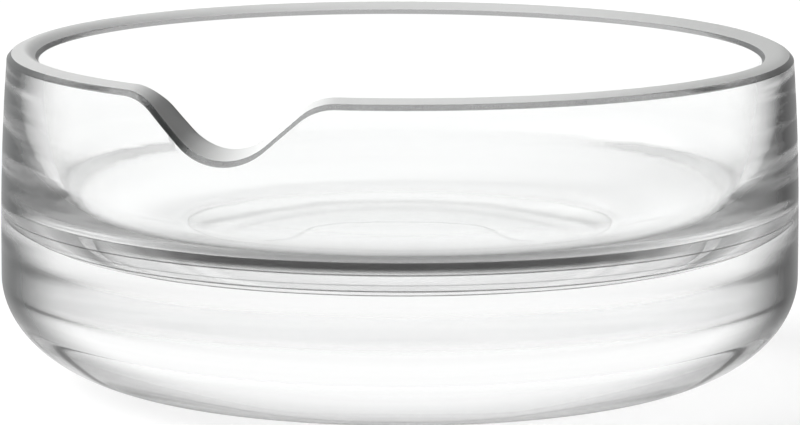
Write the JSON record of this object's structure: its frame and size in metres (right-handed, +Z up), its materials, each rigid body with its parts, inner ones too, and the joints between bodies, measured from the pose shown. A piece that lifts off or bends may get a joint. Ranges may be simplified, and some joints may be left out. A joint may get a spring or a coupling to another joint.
{
  "type": "glass serving bowl",
  "caption": "Low round serving bowl of thick clear glass, with a heavy solid base and a polished rim that dips smoothly at one place to rest a spoon or pour.",
  "frame": {"origin": "middle of the underside, on the surface that the bowl stands on", "axes": "+Z up along the bowl's axis, -Y towards the front; the dip in the rim lies 25.5 degrees from -Y towards -X"},
  "size_m": [0.15, 0.15, 0.0624],
  "materials": {
    "clear_glass": "clear and colourless, fire polished, with a smooth ground and polished rim"
  },
  "bodies": {
    "root": {"bowl": "clear_glass"}
  },
  "joints": []
}
